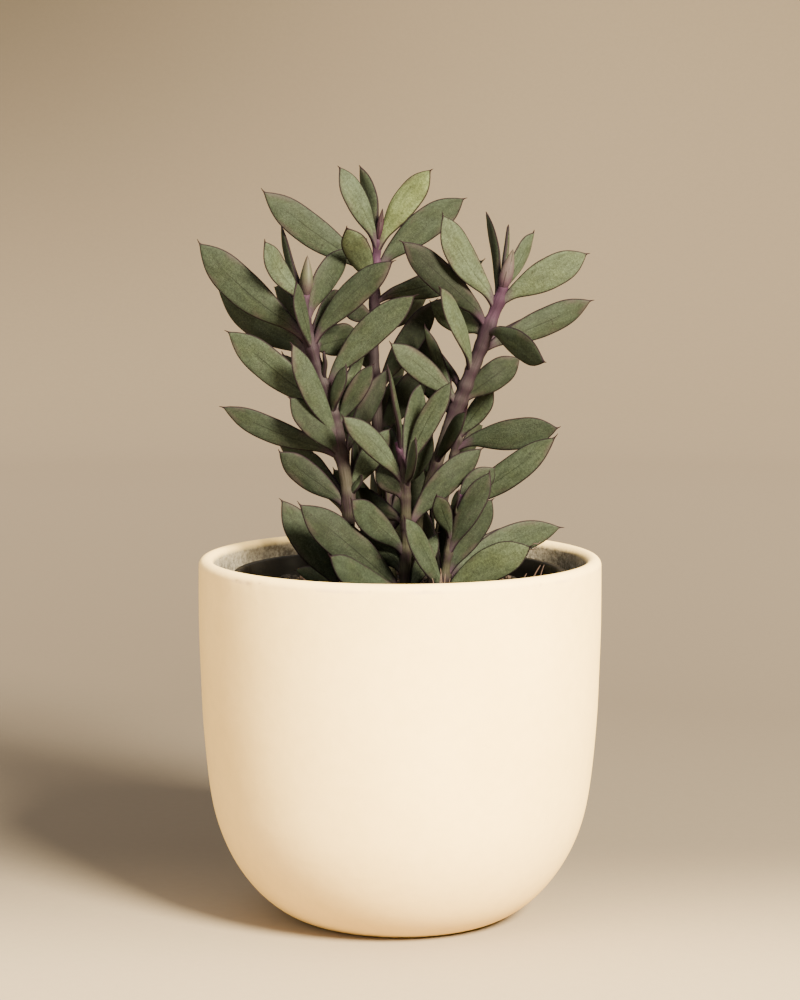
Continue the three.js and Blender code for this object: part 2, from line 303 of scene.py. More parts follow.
RIGHT_LEAVES = [
    (208, 0, -12, 237, 10.4, 0, 0, 0),
    (215, 14, -14, 246, 11, 0, 2, 0.64),
    (192, 13, -24, 222, 9.5, 0, 0, 0.62),
    (216, 30, 14, 246, 9, 0, 0, 0.35),
    (220, 37.4, 6, 241.7, 3.8, 0, 0.6, 0.45),
    (218, 47, 16, 239, 8, 0, 0, 0.56),
    (216, 64.6, -8, 232.5, 11, 0, 0, 0.66),
    (200, 67, 4, 216, 9.8, 0, 1, 0.28),
    (207, 49, -30, 196, 9.8, 0, -0.5, 0.36),
    (205, 10, 6, 215, 10, 0, 1, 0.35),
    (181, -4, -10, 202, 9, 0, 0, 0.4),
    (178, 8.1, 4, 207.2, 4.4, 0, 0, 0.32),
    (181, 42, 3, 196, 10, 0, 0, 0.15),
    (186, 30, 18, 200, 9, 0, 0, 0.3),
    (159, 23, -16, 179, 7, 0, 0, 0.27),
    (186, 2, 30, 205, 9, 0, 0, 0.1),
    (203, 58, 34, 209, 8.5, 0, 1, 0.3),
    (186, 40, 32, 191, 9, 0, 1, 0.3),
]
FRONT_LEAVES = [
    (154, -20.2, -24, 178.2, 8.4, 0, -1.5, 0.46),
    (130, -17, -26, 150, 10, 0, 0, 0.23),
    (165, -4.4, -28, 195.4, 3.8, 0, 0, 0.25),
    (162, 7, -5, 188, 10.5, 0, 0, 0.29),
    (157, 18, -20, 190, 8, 0, -1, 0.42),
    (153, 5.3, -26, 170.6, 8.2, 0, 0.6, 0.5),
    (158, -6, 5, 172, 8, 0, 0, 0.28),
    (149, -6.4, -12, 161.6, 9, 0, 1.2, 0),
    (141, -15, 0, 151, 7.5, 0, 1.8, 0.08),
    (123, -14, -14, 139, 9, 0, 0, 0.3),
    (115, -35, -28, 149, 13, 0, 0, 0.13),
    (116, -24.2, -42, 133, 10, 0, 2.4, 0.29),
    (114, 13.3, -13, 137.2, 6.5, 0, 0, 0.5),
    (139, 28.8, -8, 165.9, 9.6, 0, -1.2, 0.2),
]
LOW_LEAVES = [
    (136, 12, -31, 152, 6.8, -50, 0, 0.29),
    (142, 20, -27, 153, 5, 0, 0, 0.4),
    (145, 33, -10, 159, 9, 0, -1, 0.19),
    (130, 31, -20, 159, 8.6, 0, 0, 0.16),
    (122, 32, -14, 149, 11, 0, -1, 0.16),
    (121, 57, 2, 137, 11, 0, -3, 0.39),
    (116, 45, -34, 135, 12, 0, -1, 0.72),
    (116, 1, -33, 145, 9.5, 0, 0, 0.38),
    (113, 8.4, -3, 144.7, 9, 0, 0, 0.06),
]
BACK_LEAVES = [
    (165, 56, 6, 171, 11, 0, 0, 0.21),
    (140, 55, 2, 169, 10.2, 0, 1.8, 0.5),
    (166, 33, 10, 184, 7.5, 0, -0.6, 0.45),
    (175, 6, 40, 190, 10, 0, 1, 0.3),
    (160, 30, 52, 168, 10, 0, 2, 0.2),
    (148, 0, 56, 168, 11, 0, 2, 0.3),
    (132, 28, 56, 146, 12, 0, 2, 0.3),
    (122, -4, 58, 134, 12, 0, 2, 0.3),
    (120, 44, 36, 132, 11, 0, 2, 0.3),
    (150, -4, 30, 171, 10, 0, 0, 0.1),
    (126, -3, 33, 148, 11, 0, 0, 0.1),
    (172, 2, 26, 196, 10, 0, 0, 0.1),
    (112, 18.4, 12, 139.7, 12, 0, 0, 0.1),
    (116, 11, 15, 148.2, 10, 0, 0, 0.05),
]

# A stem is a cubic curve of four points with its radius at the bottom and at the top. A bud has
# the values of a leaf without the sag.
STEMS = {
    "stem_left": {
        "route": [(-26, -5, 92), (0, -12, 163), (-43, -10, 203), (-30, -7, 222)],
        "radii": (2, 1.7),
        "leaves": LEFT_LEAVES,
        "buds": [(219, -31.6, -7, 231.3, 6.2, 60, 0.9)],
    },
    "stem_tall": {
        "route": [(-1, 7, 92), (-4.2, 13.6, 140.7), (-12.7, 12.7, 189.3), (-7.5, 8, 238)],
        "radii": (2.1, 1.7),
        "leaves": TALL_LEAVES,
        "buds": [(237, -6, 6, 247, 3, 70, 0)],
    },
    "stem_right": {
        "route": [(4, 7, 92), (-2.8, 9.6, 135.7), (21.7, -2.1, 179.3), (36.5, -3, 223)],
        "radii": (1.7, 2.5),
        "leaves": RIGHT_LEAVES,
        "buds": [(221, 38.6, -6, 233.4, 5.4, 60, 0.75)],
    },
    "stem_front": {
        "route": [(5, -11, 92), (-1.9, -11.3, 117.3), (6, -13.8, 142.7), (-1, -13, 168)],
        "radii": (1.9, 1.6),
        "leaves": FRONT_LEAVES,
        "buds": [],
    },
    "stem_low": {
        "route": [(13, -14, 94), (14, -15, 118), (16, -15, 132), (21, -14, 150)],
        "radii": (1.6, 1.3),
        "leaves": LOW_LEAVES,
        "buds": [],
    },
    "stem_back": {
        "route": [(9, 24, 92), (12, 22, 125), (16, 18, 152), (24, 15, 182)],
        "radii": (1.6, 1.3),
        "leaves": BACK_LEAVES,
        "buds": [],
    },
}


# Mesh making

class Shape:
    """Points, faces and named point values gathered for one mesh."""

    def __init__(self):
        self.points = []
        self.faces = []
        self.materials = []
        self.values = {}
        self.count = 0

    def add(self, points, faces, material=0, **values):
        self.points.append(np.asarray(points, float))
        self.faces.extend([tuple(self.count + corner for corner in face) for face in faces])
        self.materials.extend([material] * len(faces))
        for name, value in values.items():
            self.values.setdefault(name, []).append(np.asarray(value, float))
        self.count += len(points)
        return self

    def add_tube(self, rings, material=0, grain=None, **values):
        """Adds a capped tube of rings, with every value spread over its points."""
        size = rings.shape[:2]
        spread = {name: np.broadcast_to(value, size).ravel() for name, value in values.items()}
        if grain is not None:
            axes = [np.broadcast_to(axis, size).ravel() for axis in grain]
            spread["grain"] = np.stack(axes, axis=-1)
        self.add(rings.reshape(-1, 3), tube_faces(*size), material, **spread)

    def build(self, name, materials):
        mesh = bpy.data.meshes.new(name)
        points = np.concatenate(self.points) * MM
        mesh.from_pydata(points.tolist(), [], self.faces)
        mesh.polygons.foreach_set("material_index", self.materials)
        mesh.polygons.foreach_set("use_smooth", [True] * len(self.faces))
        for key, parts in self.values.items():
            data = np.concatenate(parts)
            kind = "FLOAT_VECTOR" if data.ndim == 2 else "FLOAT"
            layer = mesh.attributes.new(key, kind, "POINT")
            layer.data.foreach_set("vector" if data.ndim == 2 else "value", data.ravel())
        mesh.update()
        for material in materials:
            mesh.materials.append(material)
        return new_object(name, mesh)


def new_object(name, data):
    thing = bpy.data.objects.new(name, data)
    bpy.context.scene.collection.objects.link(thing)
    return thing


def tube_faces(rings, around, capped=True):
    """Faces of a tube of rings, with a flat cap at both ends when capped."""
    faces = []
    for ring in range(rings - 1):
        for side in range(around):
            here = ring * around + side
            beside = ring * around + (side + 1) % around
            faces.append((here, beside, beside + around, here + around))
    if capped:
        last = (rings - 1) * around
        faces.append(tuple(reversed(range(around))))
        faces.append(tuple(last + side for side in range(around)))
    return faces


def unit(vector):
    return vector / np.linalg.norm(vector, axis=-1, keepdims=True)


def eased(value, low, high):
    share = np.clip((np.asarray(value, float) - low) / (high - low), 0, 1)
    return share * share * (3 - 2 * share)


def bell(value, reach):
    return np.exp(-(value / reach)**2)


def turns(sides):
    """Angles in radians of equal steps round a circle."""
    return 2 * math.pi * np.arange(sides) / sides


def spokes_round(across, depth, angle):
    """Directions at each angle round every ring."""
    return (across[:, None] * np.cos(angle)[None, :, None]
            + depth[:, None] * np.sin(angle)[None, :, None])


def bezier(points, shares):
    share = np.atleast_1d(np.asarray(shares, float))[:, None]
    rest = 1 - share
    a, b, c, d = (np.array(point, float) for point in points)
    return a * rest**3 + 3 * b * share * rest**2 + 3 * c * share**2 * rest + d * share**3


def share_at(route, height):
    """The share of the way along a rising curve at which it reaches a height."""
    low, high = 0.0, 1.0
    for _ in range(24):
        middle = (low + high) / 2
        if bezier(route, middle)[0, 2] < height:
            low = middle
        else:
            high = middle
    return low


def lathe(profile, sides):
    """Points and faces of an outline turned round the Z axis."""
    angle = turns(sides)
    rings = np.array(profile, float)
    radius, height = rings[:, 0, None], rings[:, 1, None]
    points = np.stack([
        radius * np.cos(angle),
        radius * np.sin(angle),
        np.repeat(height, sides, axis=1),
    ], axis=-1)
    return points.reshape(-1, 3), tube_faces(len(rings), sides)


class Outline:
    """Radii and heights along the outline of a turned body."""

    def __init__(self, *start):
        self.points = [start]

    def line(self, end, steps):
        start = np.array(self.points[-1], float)
        shares = np.linspace(0, 1, steps + 1)[1:, None]
        self.points += (start + (np.array(end, float) - start) * shares).tolist()

    def arc(self, centre, radius, start, end, steps):
        angle = np.radians(np.linspace(start, end, steps + 1)[1:])
        circle = np.stack([np.cos(angle), np.sin(angle)], axis=-1)
        self.points += (np.array(centre, float) + radius * circle).tolist()

    def curve(self, handles, end, steps):
        corners = [self.points[-1], *handles, end]
        self.points += bezier(corners, np.linspace(0, 1, steps + 1)[1:]).tolist()


def outward(points):
    """Level directions from the Z axis to each point."""
    return unit(points * np.array([1, 1, 0]) + 1e-9)


def rough(points, length, octaves=4):
    """Noise at points, for bumps about as long as length."""
    return np.array([
        noise.fractal(Vector(point) / length, 0.8, 2.1, octaves) for point in points
    ])


# Leaves and stems

def blade_outline(share):
    """Half the blade's width as a share of its greatest."""
    quarter = math.pi / 2
    widest, foot = LEAF["widest"], LEAF["foot_width"]
    growth = np.sin(quarter * np.clip(share / widest, 0, 1))**LEAF["foot_curve"]
    past = np.clip((share - widest) / (1 - widest), 0, 1)**LEAF["tip_curve"]
    return np.where(share < widest, foot + (1 - foot) * growth, np.cos(quarter * past))


def leaf_axes(foot, tip, roll):
    forward = unit(tip - foot)
    up = unit(np.array([0, 0, 1.0]) - forward * forward[2])
    angle = math.radians(roll)
    up = up * math.cos(angle) + np.cross(forward, up) * math.sin(angle)
    return forward, up, np.cross(forward, up)


def stem_frame(route, height):
    """Place and upward direction of a stem at a height."""
    step = 0.01
    share = share_at(route, height)
    low, high = bezier(route, [max(share - step, 0), min(share + step, 1)])
    return bezier(route, share)[0], unit(high - low)


def leaf_stations():
    """Shares of a leaf's length, closer together near its ends."""
    even = np.linspace(0, 1, LEAF["stations"])
    crowded = (1 - np.cos(math.pi * even)) / 2
    return (1 - LEAF["crowding"]) * even + LEAF["crowding"] * crowded


def leaf_wave(share, number, dice):
    """How far a leaf's middle line strays sideways."""
    height = dice.uniform(*LEAF["wave_height"])
    turn = dice.uniform(*LEAF["wave_turn"])
    start = dice.uniform(0, 6)
    bend = LEAF["bend"] * math.sin(LEAF["bend_turn"] * number)
    return bend + height * np.sin(share * turn + start)


def leaf_beak(share, dice):
    """How far a leaf's sharp tip hooks to one side."""
    beak = dice.choice((-1, 1)) * LEAF["beak"]
    return beak * np.clip((share - LEAF["beak_from"]) / (1 - LEAF["beak_from"]), 0, 1)**2


def leaf_section(share, width):
    """Half the width and half the thickness at each station."""
    end = LEAF["blade_end"]
    thin, wide = LEAF["point_half"]
    blade = width / 2 * np.where(share < end, blade_outline(share / end), 0)
    point = np.clip(thin + LEAF["point_slope"] * (1 - share), thin, wide)
    half = np.hypot(blade, point * eased(share, *LEAF["point_from"]))
    thinning = (LEAF["thickness"] - LEAF["tip_thickness"]) * share**3
    thick = (LEAF["thickness"] - thinning) / 2
    return half, np.minimum(thick, LEAF["roundest"] * half)


def twisted_axes(up, side, share, dice):
    """Axes of the sections, turned slowly along the leaf."""
    turn = math.radians(dice.uniform(-LEAF["twist"], LEAF["twist"]))
    turn = turn * (share - LEAF["twist_middle"]) * eased(share, *LEAF["twist_from"])
    cosine, sine = np.cos(turn)[:, None], np.sin(turn)[:, None]
    return up * cosine + side * sine, side * cosine - up * sine


def face_profile(cross, flat):
    """Thickness across a section, from a round foot to a flat blade."""
    round_section = np.sqrt(np.clip(1 - cross**2, 0, 1))
    blade_section = np.clip(1 - np.abs(cross)**3.2, 0, 1)**0.75
    return round_section + (blade_section - round_section) * flat


def add_leaf(shape, route, row, number, seed):
    height, *tip, width, roll, sag, tone = row
    dice = random.Random(seed)
    foot, rising = stem_frame(route, height)
    tip = np.array(tip, float)
    _, up, side = leaf_axes(foot, tip, roll)
    share = leaf_stations()
    sideways = leaf_wave(share, number, dice)[:, None]
    arch = np.sin(math.pi * share)[:, None]
    centre = foot + (tip - foot) * share[:, None] + (side * sideways - up * sag) * arch
    drop = LEAF["drop"] * np.clip(1 - share / LEAF["drop_share"], 0, 1)**2
    centre = centre - rising * drop[:, None] + up * leaf_beak(share, dice)[:, None]
    half, thick = leaf_section(share, width)
    ups, sides = twisted_axes(up, side, share, dice)
    steps = np.arange(2 * LEAF["face_steps"])
    cross = np.cos(math.pi * steps / LEAF["face_steps"])
    facing = np.where(steps <= LEAF["face_steps"], 1.0, -1.0)
    flat = eased(share, *LEAF["flat_from"])[:, None]
    cup = dice.uniform(-LEAF["cup"], LEAF["cup"]) * eased(share, *LEAF["cup_from"])
    depth = face_profile(cross, flat) * facing * thick[:, None]
    depth = depth + (cup * half)[:, None] * (cross**2 - LEAF["cup_middle"])
    across = half[:, None] * cross
    length = np.linalg.norm(centre[-1] - centre[0])
    shape.add_tube(
        centre[:, None] + ups[:, None] * across[..., None] + sides[:, None] * depth[..., None],
        LEAF_SKIN,
        along=share[:, None],
        rim=half[:, None] - np.abs(across),
        cross=across,
        tone=tone,
        luck=dice.random(),
        grain=(across, (share * length)[:, None], 40.0 * seed + 20 * facing),
    )


def add_bud(shape, route, row, seed):
    """A closed bud: a plump core with two scales folded round it."""
    height, *tip, width, turn, tone = row
    foot, _ = stem_frame(route, height - BUD["sunk"])
    tip = np.array(tip, float)
    share = np.linspace(0, 1, BUD["stations"])
    angle = turns(2 * LEAF["face_steps"])
    body = np.sin(math.pi * np.clip(share * 0.97 + 0.03, 0, 1)**0.85)**0.8
    body = width / 2 * body * (1 - BUD["narrowing"] * share)
    core = BUD["foot_radius"] * (1 - share) + BUD["tip_radius"] * share
    for scale, (shift, plump, reach) in enumerate(BUD["scales"]):
        scale_tip = foot + (tip - foot) * reach
        forward, up, side = leaf_axes(foot, scale_tip, turn + BUD["scale_turn"] * scale)
        along = share * np.linalg.norm(tip - foot) * reach
        half = (plump * body + core)[:, None]
        bow = shift * np.sin(math.pi * share)
        centre = foot + forward * along[:, None] + side * bow[:, None]
        across = half * np.cos(angle)
        depth = BUD["flatness"] * half * np.sin(angle)
        shape.add_tube(
            centre[:, None] + up * across[..., None] + side * depth[..., None],
            BUD_SKIN,
            along=share[:, None] * BUD["ripe"],
            rim=np.abs(depth) + BUD["rim"],
            cross=across,
            tone=tone,
            luck=BUD["luck"],
            grain=(across, along[:, None], float(seed + 7 * scale)),
        )


def stem_bulges(plan, shares, centre, across, depth, travelled):
    """Swelling of the stem, and how close every ring is to a leaf's foot."""
    angle = turns(STEM["sides"])
    bulge = np.zeros((STEM["rings"], STEM["sides"]))
    closeness = np.zeros(STEM["rings"])
    for row in plan["leaves"]:
        at = share_at(plan["route"], row[0])
        ring = int(round(at * (STEM["rings"] - 1)))
        to_tip = np.array(row[1:4], float) - centre[ring]
        facing = math.atan2(to_tip @ depth[ring], to_tip @ across[ring])
        gap = np.angle(np.exp(1j * (angle - facing)))
        below = np.interp(at, shares, travelled) - travelled
        fading = np.exp(-np.clip(below, 0, None) / STEM["ridge_reach"])
        ridge = STEM["ridge"] * eased(below, -STEM["ridge_above"], 0) * fading
        bulge += ridge[:, None] * bell(gap, STEM["ridge_width"])
        bulge += STEM["swelling"] * bell(below, STEM["swelling_reach"])[:, None]
        mark = bell(below - STEM["mark_below"], STEM["mark_reach"])
        closeness = np.maximum(closeness, mark)
    return np.minimum(bulge, STEM["most"]), closeness


def add_stem(shape, plan, seed):
    """A stem with a ridge running down from every leaf."""
    shares = np.linspace(0, 1, STEM["rings"])
    centre = bezier(plan["route"], shares)
    tangent = unit(np.gradient(centre, axis=0))
    across = unit(np.cross(np.array([0, 1.0, 0]), tangent))
    depth = np.cross(tangent, across)
    steps = np.linalg.norm(np.diff(centre, axis=0), axis=1)
    travelled = np.concatenate([[0], np.cumsum(steps)])
    low, high = plan["radii"]
    radius = (low + (high - low) * shares) * (1 - STEM["taper"] * shares**8)
    bulge, closeness = stem_bulges(plan, shares, centre, across, depth, travelled)
    angle = turns(STEM["sides"])
    spokes = spokes_round(across, depth, angle)
    rings = centre[:, None] + spokes * (radius[:, None] + bulge)[..., None]
    bumps = rough(rings.reshape(-1, 3) + seed, STEM["rough_length"]).reshape(bulge.shape)
    shape.add_tube(
        rings + spokes * (STEM["rough_depth"] * bumps)[..., None],
        STEM_SKIN,
        along=shares[:, None],
        rim=STEM["rim"],
        cross=STEM["cross"],
        tone=closeness[:, None],
        luck=centre[:, 2, None] * MM,
        grain=(
            STEM["grain_radius"] * np.cos(angle),
            STEM["grain_radius"] * np.sin(angle),
            travelled[:, None] / STEM["grain_length"] + seed,
        ),
    )


def make_plant(node, plan, index, materials):
    shape = Shape()
    add_stem(shape, plan, 11 * index)
    for number, row in enumerate(plan["leaves"]):
        add_leaf(shape, plan["route"], row, number, 100 * index + number)
    for number, row in enumerate(plan["buds"]):
        add_bud(shape, plan["route"], row, 100 * index + 60 + number)
    piece = shape.build(node.replace("stem", "leafy_stem"), materials)
    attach(piece, "root")
    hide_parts(node)


# Planter

def planter_profile():
    """Outline from the middle of the underside, over the lip, to the inner floor."""
    p = PLANTER
    lip = p["wall"] / 2
    lip_centre = (p["radius"] - lip, p["height"] - lip)
    side = (p["foot_radius"], 0)
    edge = (p["recess_radius"] + p["recess_depth"], 0)
    profile = Outline(AXIS_GAP, p["recess_depth"])
    profile.line((p["recess_radius"], p["recess_depth"]), 4)
    profile.line(edge, 2)
    profile.line((side[0] - p["foot_round"], 0), 3)
    profile.line(side, 2)
    profile.curve(p["outside_low"], p["shoulder"], 26)
    profile.curve(p["outside_high"], (p["radius"], lip_centre[1]), 40)
    profile.arc(lip_centre, lip, 0, 180, 16)
    profile.curve(p["inside_high"], p["inside_shoulder"], 30)
    profile.curve(p["inside_low"], p["floor"], 16)
    profile.line((AXIS_GAP, p["floor"][1]), 6)
    return profile.points


def chip_depth(points):
    """How deep the lip's chips cut at each point."""
    radius = PLANTER["radius"]
    depth = np.zeros(len(points))
    for turn, height, half, deep in LIP_CHIPS:
        angle = math.radians(turn)
        middle = np.array([radius * math.cos(angle), radius * math.sin(angle), height])
        away = np.linalg.norm((points - middle) * np.array([1, 1, CHIP_FLATNESS]), axis=1)
        depth = np.maximum(depth, deep * bell(away, half))
    return depth


def make_planter(material):
    p = PLANTER
    points, faces = lathe(planter_profile(), p["sides"])
    height = points[:, 2]
    ring = np.repeat(np.arange(len(points) // p["sides"]), p["sides"])
    top_ring = int(np.argmax(height)) // p["sides"]
    inside = (ring > top_ring).astype(float)
    inner = inside * eased(p["height"] - height, *p["grit_below_lip"])
    dent = chip_depth(points)
    free = eased(height, *p["uneven_from"]) * (1 - inside)
    sway = np.abs(rough(points, p["uneven_length"], 2)) * p["uneven_depth"] * free
    grit = np.abs(rough(points, p["grit_length"], 2)) * p["grit_depth"] * inner
    points = points - outward(points) * (p["slack"] + sway + dent + grit)[:, None]
    shape = Shape().add(points, faces, inside=inner, worn=dent / DEEPEST_CHIP, level=height * MM)
    piece = shape.build("ceramic_planter", [material])
    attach(piece, "root")
    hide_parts("planter")


# Nursery pot

def nursery_inside(height):
    """The inner radius of the slanted plastic wall at a height."""
    n = NURSERY
    low = n["base"] + n["wall"]
    share = (height - low) / (n["rim_top"] - low)
    return n["base_radius"] + (n["top_radius"] - n["base_radius"]) * share - n["wall"]


def nursery_profile():
    """Outline from the middle of the underside, over the rim, to the inner floor."""
    n = NURSERY
    lip = n["top_radius"] + n["lip_width"]
    lip_round, base_round, bevel = n["lip_round"], n["base_round"], n["rim_bevel"]
    under_lip = n["rim_top"] - n["lip_height"]
    inner_top = (nursery_inside(n["rim_top"]), n["rim_top"] - bevel)
    inner_floor = n["base"] + n["wall"]
    corner = (n["base_radius"] - base_round, n["base"])
    profile = Outline(AXIS_GAP, n["base"])
    profile.line(corner, 12)
    profile.arc((corner[0], n["base"] + base_round), base_round, -90, 0, 4)
    profile.line((n["top_radius"] - n["under_lip_step"], under_lip), 30)
    profile.line((lip, under_lip), 2)
    profile.line((lip, n["rim_top"] - lip_round), 6)
    profile.arc((lip - lip_round, n["rim_top"] - lip_round), lip_round, 0, 90, 4)
    profile.line((inner_top[0] + bevel, n["rim_top"]), 3)
    profile.line(inner_top, 2)
    profile.line((nursery_inside(inner_floor), inner_floor), 30)
    profile.line((AXIS_GAP, inner_floor), 12)
    return profile.points


def drill(piece, count, circle, radius, height):
    """Cuts round holes down through a piece."""
    cutter = bmesh.new()
    for angle in turns(count):
        place = Vector((circle * math.cos(angle), circle * math.sin(angle), height)) * MM
        bmesh.ops.create_cone(
            cutter, cap_ends=True, segments=32, radius1=radius * MM, radius2=radius * MM,
            depth=6 * MM, matrix=Matrix.Translation(place),
        )
    mesh = bpy.data.meshes.new("holes")
    cutter.to_mesh(mesh)
    cutter.free()
    tool = new_object("holes", mesh)
    cut = piece.modifiers.new("holes", "BOOLEAN")
    cut.operation = "DIFFERENCE"
    cut.object = tool
    graph = bpy.context.evaluated_depsgraph_get()
    piece.data = bpy.data.meshes.new_from_object(piece.evaluated_get(graph))
    piece.modifiers.clear()
    bpy.data.objects.remove(tool)


def make_nursery_pot(material):
    n = NURSERY
    points, faces = lathe(nursery_profile(), n["sides"])
    sway = rough(points, n["uneven_length"], 2) * eased(points[:, 2], *n["uneven_from"])
    points = points + outward(points) * (n["uneven_depth"] * sway)[:, None]
    piece = Shape().add(points, faces).build("plastic_nursery_pot", [material])
    drill(piece, n["holes"], n["hole_circle"], n["hole_radius"], n["base"])
    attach(piece, "root")
    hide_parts("nursery_pot")


# Soil

def soil_height(x, y):
    """The crumbly top of the soil, heaped up towards the pot's wall."""
    s = SOIL
    swell = 0.6 + noise.noise(Vector((x, y, 3)) / s["heap_length"])
    heap = s["heap"] * float(eased(math.hypot(x, y), *s["heap_from"])) * swell
    lumps = s["lumps"] * noise.fractal(Vector((x, y, 0)) / s["lump_length"], 0.9, 2.2, 4)
    return s["middle_top"] + heap + lumps


def make_soil(material):
    s = SOIL
    profile = Outline(AXIS_GAP, s["bottom"])
    profile.line((s["bottom_radius"], s["bottom"]), 6)
    profile.line((s["top_radius"], s["edge_top"]), 20)
    profile.line((AXIS_GAP, s["middle_top"]), s["rings"])
    points, faces = lathe(profile.points, s["sides"])
    top = (len(profile.points) - s["rings"] - 1) * s["sides"]
    for point in points[top:]:
        point[2] = soil_height(point[0], point[1])
    piece = Shape().add(points, faces).build("potting_soil", [material])
    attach(piece, "root")
    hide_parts("soil")


def soil_spot(dice, low, high):
    """A random place on the soil between two distances from the middle."""
    radius = math.sqrt(dice.uniform(low * low, high * high))
    angle = dice.uniform(0, 2 * math.pi)
    x, y = radius * math.cos(angle), radius * math.sin(angle)
    return x, y, soil_height(x, y)


def crumb(dice, size):
    ball = bmesh.new()
    bmesh.ops.create_icosphere(ball, subdivisions=2, radius=1)
    shift = Vector((dice.uniform(0, 90), dice.uniform(0, 90), 0))
    stretch = Vector((dice.uniform(0.7, 1.2), dice.uniform(0.7, 1.2), dice.uniform(0.5, 0.9)))
    points = []
    for vert in ball.verts:
        swell = 1 + 0.45 * noise.noise(vert.co * 1.3 + shift)
        points.append([size * swell * vert.co[axis] * stretch[axis] for axis in range(3)])
    faces = [tuple(vert.index for vert in face.verts) for face in ball.faces]
    ball.free()
    return np.array(points), faces


def make_crumbs(material):
    dice = random.Random(5)
    small, large = SOIL["crumb_size"]
    shape = Shape()
    for _ in range(SOIL["crumbs"]):
        x, y, z = soil_spot(dice, 0, SOIL["crumb_reach"])
        size = small + (large - small) * dice.random()**2.5
        points, faces = crumb(dice, size)
        luck = np.full(len(points), dice.random())
        shape.add(points + np.array([x, y, z + 0.2 * size]), faces, luck=luck)
    piece = shape.build("soil_crumbs", [material])
    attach(piece, "root")


def add_fibre(shape, points, thick, luck):
    """A thin round strand through points, thinner at both ends."""
    points = np.array(points, float)
    tangent = unit(np.gradient(points, axis=0))
    across = unit(np.cross(tangent, np.array([0.3, 0.2, 1.0])))
    share = np.linspace(0, 1, len(points))
    radius = thick * (0.35 + 0.65 * np.sin(math.pi * share)**0.5)
    spokes = spokes_round(across, np.cross(tangent, across), turns(SOIL["fibre_sides"]))
    shape.add_tube(points[:, None] + spokes * radius[:, None, None], luck=luck)


def lying_fibre(dice, x, y, length, lift):
    """Points of a strand that wanders over the soil."""
    heading = dice.uniform(0, 2 * math.pi)
    points = []
    steps, reach = SOIL["fibre_steps"], SOIL["fibre_reach"]
    for step in range(steps + 1):
        arch = math.sin(math.pi * step / steps)
        points.append((x, y, soil_height(x, y) + SOIL["fibre_rise"] + lift * arch))
        heading += dice.uniform(-0.5, 0.5)
        x += math.cos(heading) * length / steps
        y += math.sin(heading) * length / steps
        away = max(math.hypot(x, y), reach)
        x, y = x * reach / away, y * reach / away
    return points


def straw_points(x, y, rise, lean_x, lean_y):
    foot = soil_height(x, y) - STRAW_DEPTH
    shares = np.linspace(0, 1, STRAW_STEPS)
    return [(x + lean_x * s * s, y + lean_y * s, foot + rise * s) for s in shares]


def make_fibres(material):
    dice = random.Random(9)
    shape = Shape()
    for _ in range(SOIL["fibres"]):
        x, y, _ = soil_spot(dice, *SOIL["fibre_ring"])
        length = dice.uniform(*SOIL["fibre_length"])
        lift = SOIL["fibre_lift"] * dice.random()**2
        strand = lying_fibre(dice, x, y, length, lift)
        add_fibre(shape, strand, dice.uniform(*SOIL["fibre_radius"]), dice.random())
    for *place_and_lean, luck in STRAWS:
        add_fibre(shape, straw_points(*place_and_lean), STRAW_RADIUS, luck)
    for strand in SHREDS:
        add_fibre(shape, strand, STRAW_RADIUS, SHRED_PALENESS)
    piece = shape.build("coir_fibres", [material])
    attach(piece, "root")


# Materials: colours are linear, and each tone has its place from 0 to 1 before its colour

LEAF_TONES = [
    (0, 0.0046, 0.0065, 0.004),
    (0.3, 0.014, 0.0192, 0.0126),
    (0.6, 0.0255, 0.0338, 0.0222),
    (0.85, 0.048, 0.06, 0.032),
    (1, 0.076, 0.097, 0.042),
]

# Heights in metres between which a stem turns from green-brown to mauve
STEM_COLOUR_HEIGHTS = (0.11, 0.24)
STEM_TONES = [
    (0, 0.0165, 0.017, 0.0092),
    (0.3, 0.0195, 0.0178, 0.0126),
    (0.5, 0.018, 0.014, 0.0158),
    (0.7, 0.016, 0.0112, 0.015),
    (1, 0.0165, 0.0098, 0.0165),
]

BUD_GREENS = [
    (0, 0.016, 0.0085, 0.0135),
    (0.25, 0.024, 0.019, 0.018),
    (0.5, 0.033, 0.035, 0.022),
    (0.8, 0.037, 0.031, 0.024),
    (1, 0.015, 0.0075, 0.01),
]
BUD_PINKS = [
    (0, 0.022, 0.0085, 0.0215),
    (0.3, 0.038, 0.015, 0.036),
    (0.6, 0.047, 0.026, 0.04),
    (0.85, 0.042, 0.034, 0.027),
    (1, 0.018, 0.008, 0.01),
]

# Two shades each of glaze, of the bare inside and of plastic. The bare inside is grainy clay, made
# far darker than the glaze as painted shade inside the pot.
GLAZE = ((0.8, 0.575, 0.218), (0.84, 0.61, 0.245))
BARE_CLAY_AND_PAINTED_SHADE = ((0.11, 0.098, 0.077), (0.26, 0.232, 0.188))
PLASTIC = ((0.0018, 0.0016, 0.0015), (0.009, 0.0075, 0.006))
# Height in metres of the painted shade line round the lip
LIP_SHADE_HEIGHT = 124.3 * MM
PEAT_TONES = [
    (0.3, 0.002, 0.0016, 0.0013),
    (0.55, 0.006, 0.0045, 0.0034),
    (0.75, 0.018, 0.0125, 0.009),
]
CRUMB_TONES = [
    (0, 0.0025, 0.002, 0.0016),
    (0.7, 0.009, 0.006, 0.0045),
    (1, 0.038, 0.024, 0.018),
]
FIBRE_TONES = [
    (0, 0.012, 0.0075, 0.006),
    (0.6, 0.04, 0.022, 0.018),
    (1, 0.062, 0.038, 0.029),
]
